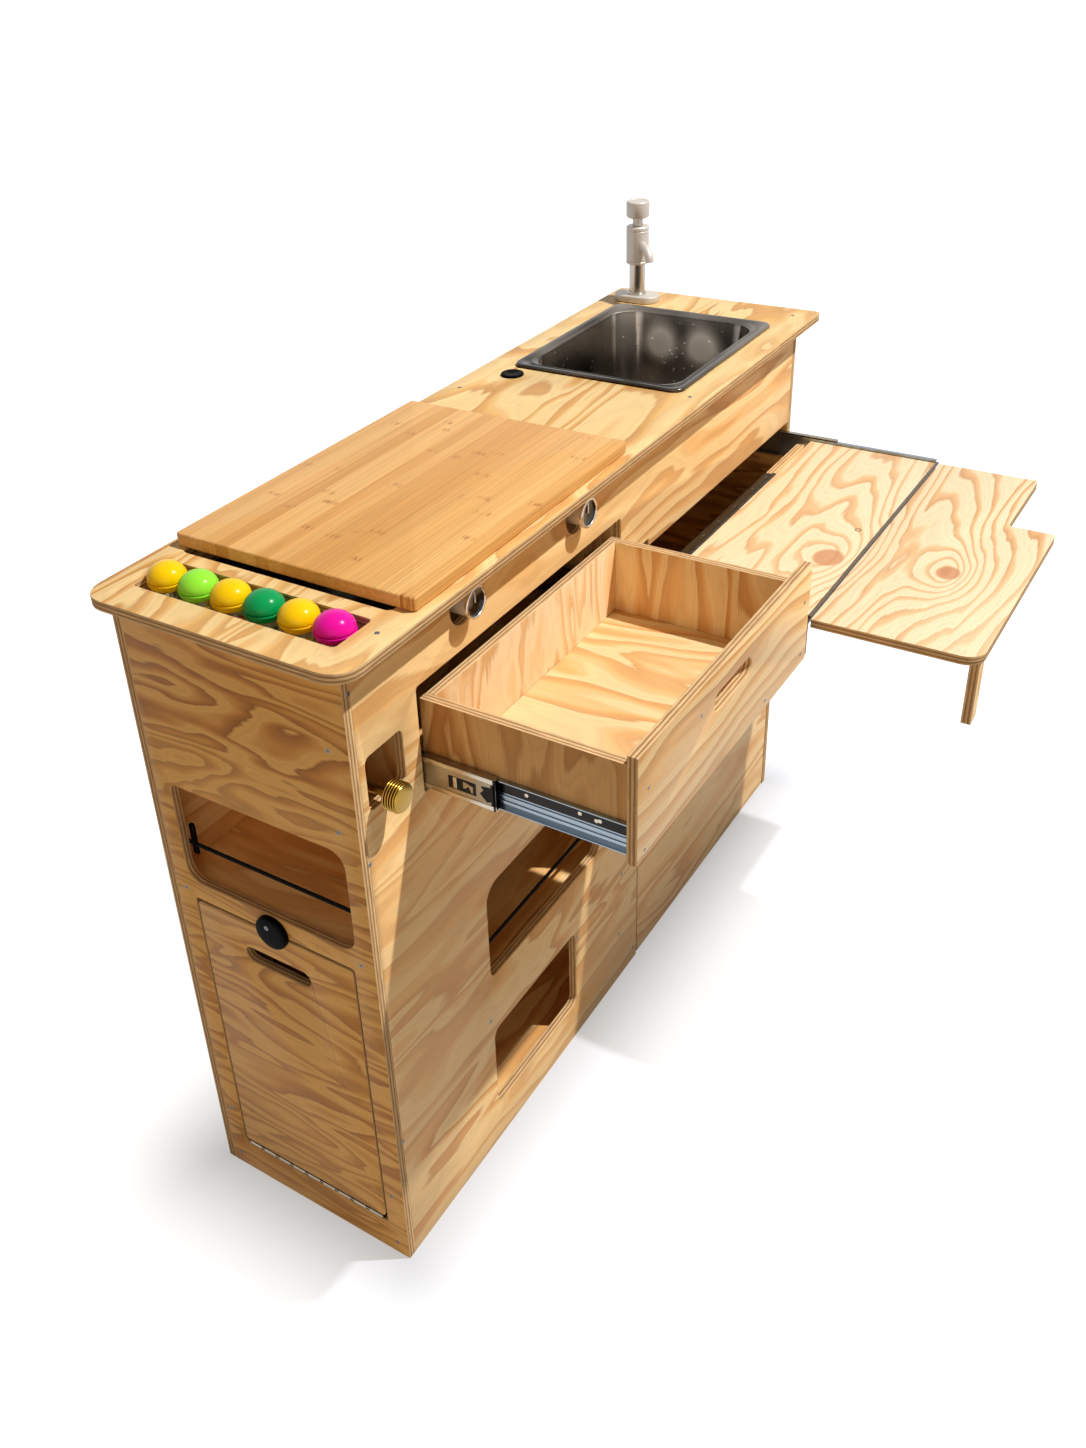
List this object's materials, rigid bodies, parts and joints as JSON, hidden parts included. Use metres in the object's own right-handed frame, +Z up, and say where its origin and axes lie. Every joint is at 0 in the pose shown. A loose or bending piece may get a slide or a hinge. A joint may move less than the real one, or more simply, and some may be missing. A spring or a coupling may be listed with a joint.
{
  "type": "campervan kitchen pod",
  "caption": "Narrow plywood kitchen cabinet with hob under a board, sink and pump tap, spice slot, drawer, end and front doors, and a pull-out folding table.",
  "frame": {"origin": "centre of the carcass underside, on the floor", "axes": "+X along the cabinet from the spice-jar end to the tap end, +Y to the back panel, +Z up; the front faces -Y"},
  "size_m": [1.2116, 0.777, 1.0587],
  "materials": {
    "ply": "clear oiled softwood ply",
    "bamboo": "oiled bamboo",
    "steel": "brushed",
    "zinc": "zinc plated",
    "chrome": "satin chrome",
    "brass": "turned",
    "black_plastic": "moulded",
    "cord": "braided elastic",
    "lid_yellow": "gloss",
    "lid_lime": "gloss",
    "lid_green": "gloss",
    "lid_magenta": "gloss"
  },
  "bodies": {
    "carcass": {"base_panel": "ply", "back_panel": "ply", "end_panel_near": "ply", "end_panel_far": "ply", "front_panel": "ply", "worktop": "ply", "partition_top": "ply", "partition_low": "ply", "partition_mid": "ply", "shelf_drawer": "ply", "shelf_end": "ply", "shelf_cubby": "ply", "spice_tray": "ply", "hob": "steel", "sink_bowl": "steel", "tap_base": "chrome", "door_hinge": "zinc", "bungee_end": "cord", "bungee_front": "cord", "drawer_runner_outer_near": "zinc", "drawer_runner_outer_far": "zinc", "table_runner_outer_near": "zinc", "table_runner_outer_far": "zinc"},
    "hob_knob_near": {"hob_knob_near": "black_plastic"},
    "hob_knob_far": {"hob_knob_far": "black_plastic"},
    "chopping_board": {"chopping_board": "bamboo"},
    "grommet_cap": {"grommet_cap": "black_plastic"},
    "tap_spout": {"tap_spout": "chrome"},
    "tap_knob": {"tap_knob": "chrome"},
    "jar_1": {"jar_1": "lid_magenta"},
    "jar_2": {"jar_2": "lid_yellow"},
    "jar_3": {"jar_3": "lid_green"},
    "jar_4": {"jar_4": "lid_yellow"},
    "jar_5": {"jar_5": "lid_lime"},
    "jar_6": {"jar_6": "lid_yellow"},
    "drawer_middles": {"drawer_runner_middle_near": "zinc", "drawer_runner_middle_far": "zinc"},
    "drawer": {"drawer_front": "ply", "drawer_side_near": "ply", "drawer_side_far": "ply", "drawer_back": "ply", "drawer_bottom": "ply", "drawer_runner_inner_near": "zinc", "drawer_runner_inner_far": "zinc"},
    "table_middles": {"table_runner_middle_near": "zinc", "table_runner_middle_far": "zinc"},
    "table_carriage": {"table_cheek_near": "ply", "table_cheek_far": "ply", "table_rail": "ply", "rail_hinge": "zinc", "table_runner_inner_near": "zinc", "table_runner_inner_far": "zinc"},
    "table_panel": {"table_panel": "ply", "leaf_hinge": "zinc"},
    "table_leaf": {"table_leaf": "ply"},
    "table_leg": {"table_leg": "ply"},
    "end_door": {"end_door": "ply"},
    "turn_button": {"turn_button": "black_plastic"},
    "front_door": {"front_door": "ply"},
    "brass_knob": {"brass_knob": "brass"}
  },
  "joints": [
    {"name": "hob_knob_near_turn", "type": "hinge", "parent": "carcass", "child": "hob_knob_near", "pos_m": [-0.36985, -0.1545, 0.862], "axis": [0, -1, 0], "range_deg": [0, 210]},
    {"name": "hob_knob_far_turn", "type": "hinge", "parent": "carcass", "child": "hob_knob_far", "pos_m": [-0.12435, -0.1545, 0.862], "axis": [0, -1, 0], "range_deg": [0, 210]},
    {"name": "chopping_board_lift", "type": "slide", "parent": "carcass", "child": "chopping_board", "axis": [0, 0, 1], "range_m": [0, 0.12]},
    {"name": "grommet_cap_lift", "type": "slide", "parent": "carcass", "child": "grommet_cap", "axis": [0, 0, 1], "range_m": [0, 0.03]},
    {"name": "spout_swivel", "type": "hinge", "parent": "carcass", "child": "tap_spout", "pos_m": [0.54985, 0.1102, 0.97], "axis": [0, 0, 1], "range_deg": [-90, 90]},
    {"name": "pump_stroke", "type": "slide", "parent": "tap_spout", "child": "tap_knob", "axis": [0, 0, 1], "range_m": [-0.01, 0.02]},
    {"name": "jar_1_lift", "type": "slide", "parent": "carcass", "child": "jar_1", "axis": [0, 0, 1], "range_m": [0, 0.1]},
    {"name": "jar_2_lift", "type": "slide", "parent": "carcass", "child": "jar_2", "axis": [0, 0, 1], "range_m": [0, 0.1]},
    {"name": "jar_3_lift", "type": "slide", "parent": "carcass", "child": "jar_3", "axis": [0, 0, 1], "range_m": [0, 0.1]},
    {"name": "jar_4_lift", "type": "slide", "parent": "carcass", "child": "jar_4", "axis": [0, 0, 1], "range_m": [0, 0.1]},
    {"name": "jar_5_lift", "type": "slide", "parent": "carcass", "child": "jar_5", "axis": [0, 0, 1], "range_m": [0, 0.1]},
    {"name": "jar_6_lift", "type": "slide", "parent": "carcass", "child": "jar_6", "axis": [0, 0, 1], "range_m": [0, 0.1]},
    {"name": "drawer_slide", "type": "slide", "parent": "carcass", "child": "drawer", "axis": [0, -1, 0], "range_m": [-0.2555, 0]},
    {"name": "drawer_middles_slide", "type": "slide", "parent": "carcass", "child": "drawer_middles", "axis": [0, -1, 0], "range_m": [-0.12775, 0]},
    {"name": "table_slide", "type": "slide", "parent": "carcass", "child": "table_carriage", "axis": [0, -1, 0], "range_m": [-0.2465, 0]},
    {"name": "table_middles_slide", "type": "slide", "parent": "carcass", "child": "table_middles", "axis": [0, -1, 0], "range_m": [-0.12325, 0]},
    {"name": "table_tilt", "type": "hinge", "parent": "table_carriage", "child": "table_panel", "pos_m": [0.2845, -0.197, 0.7055], "axis": [-1, 0, 0], "range_deg": [0, 85]},
    {"name": "leaf_fold", "type": "hinge", "parent": "table_panel", "child": "table_leaf", "pos_m": [0.2845, -0.401, 0.7085], "axis": [1, 0, 0], "range_deg": [-180, 0]},
    {"name": "leg_fold", "type": "hinge", "parent": "table_leaf", "child": "table_leg", "pos_m": [0.05225, -0.5985, 0.6888], "axis": [-1, 0, 0], "range_deg": [-90, 0]},
    {"name": "end_door_drop", "type": "hinge", "parent": "carcass", "child": "end_door", "pos_m": [-0.57835, -0.005, 0.0565], "axis": [0, -1, 0], "range_deg": [0, 90]},
    {"name": "turn_button_turn", "type": "hinge", "parent": "carcass", "child": "turn_button", "pos_m": [-0.57885, -0.005, 0.5005], "axis": [1, 0, 0], "range_deg": [0, 180]},
    {"name": "front_door_swing", "type": "hinge", "parent": "carcass", "child": "front_door", "pos_m": [0.56555, -0.1545, 0.30425], "axis": [0, 0, 1], "range_deg": [0, 110]},
    {"name": "brass_knob_turn", "type": "hinge", "parent": "carcass", "child": "brass_knob", "pos_m": [-0.53615, -0.1545, 0.7194], "axis": [0, -1, 0], "range_deg": [0, 360]}
  ],
  "couplings": [
    {"joint": "drawer_middles_slide", "follows": "drawer_slide", "ratio": 0.5},
    {"joint": "table_middles_slide", "follows": "table_slide", "ratio": 0.5}
  ]
}
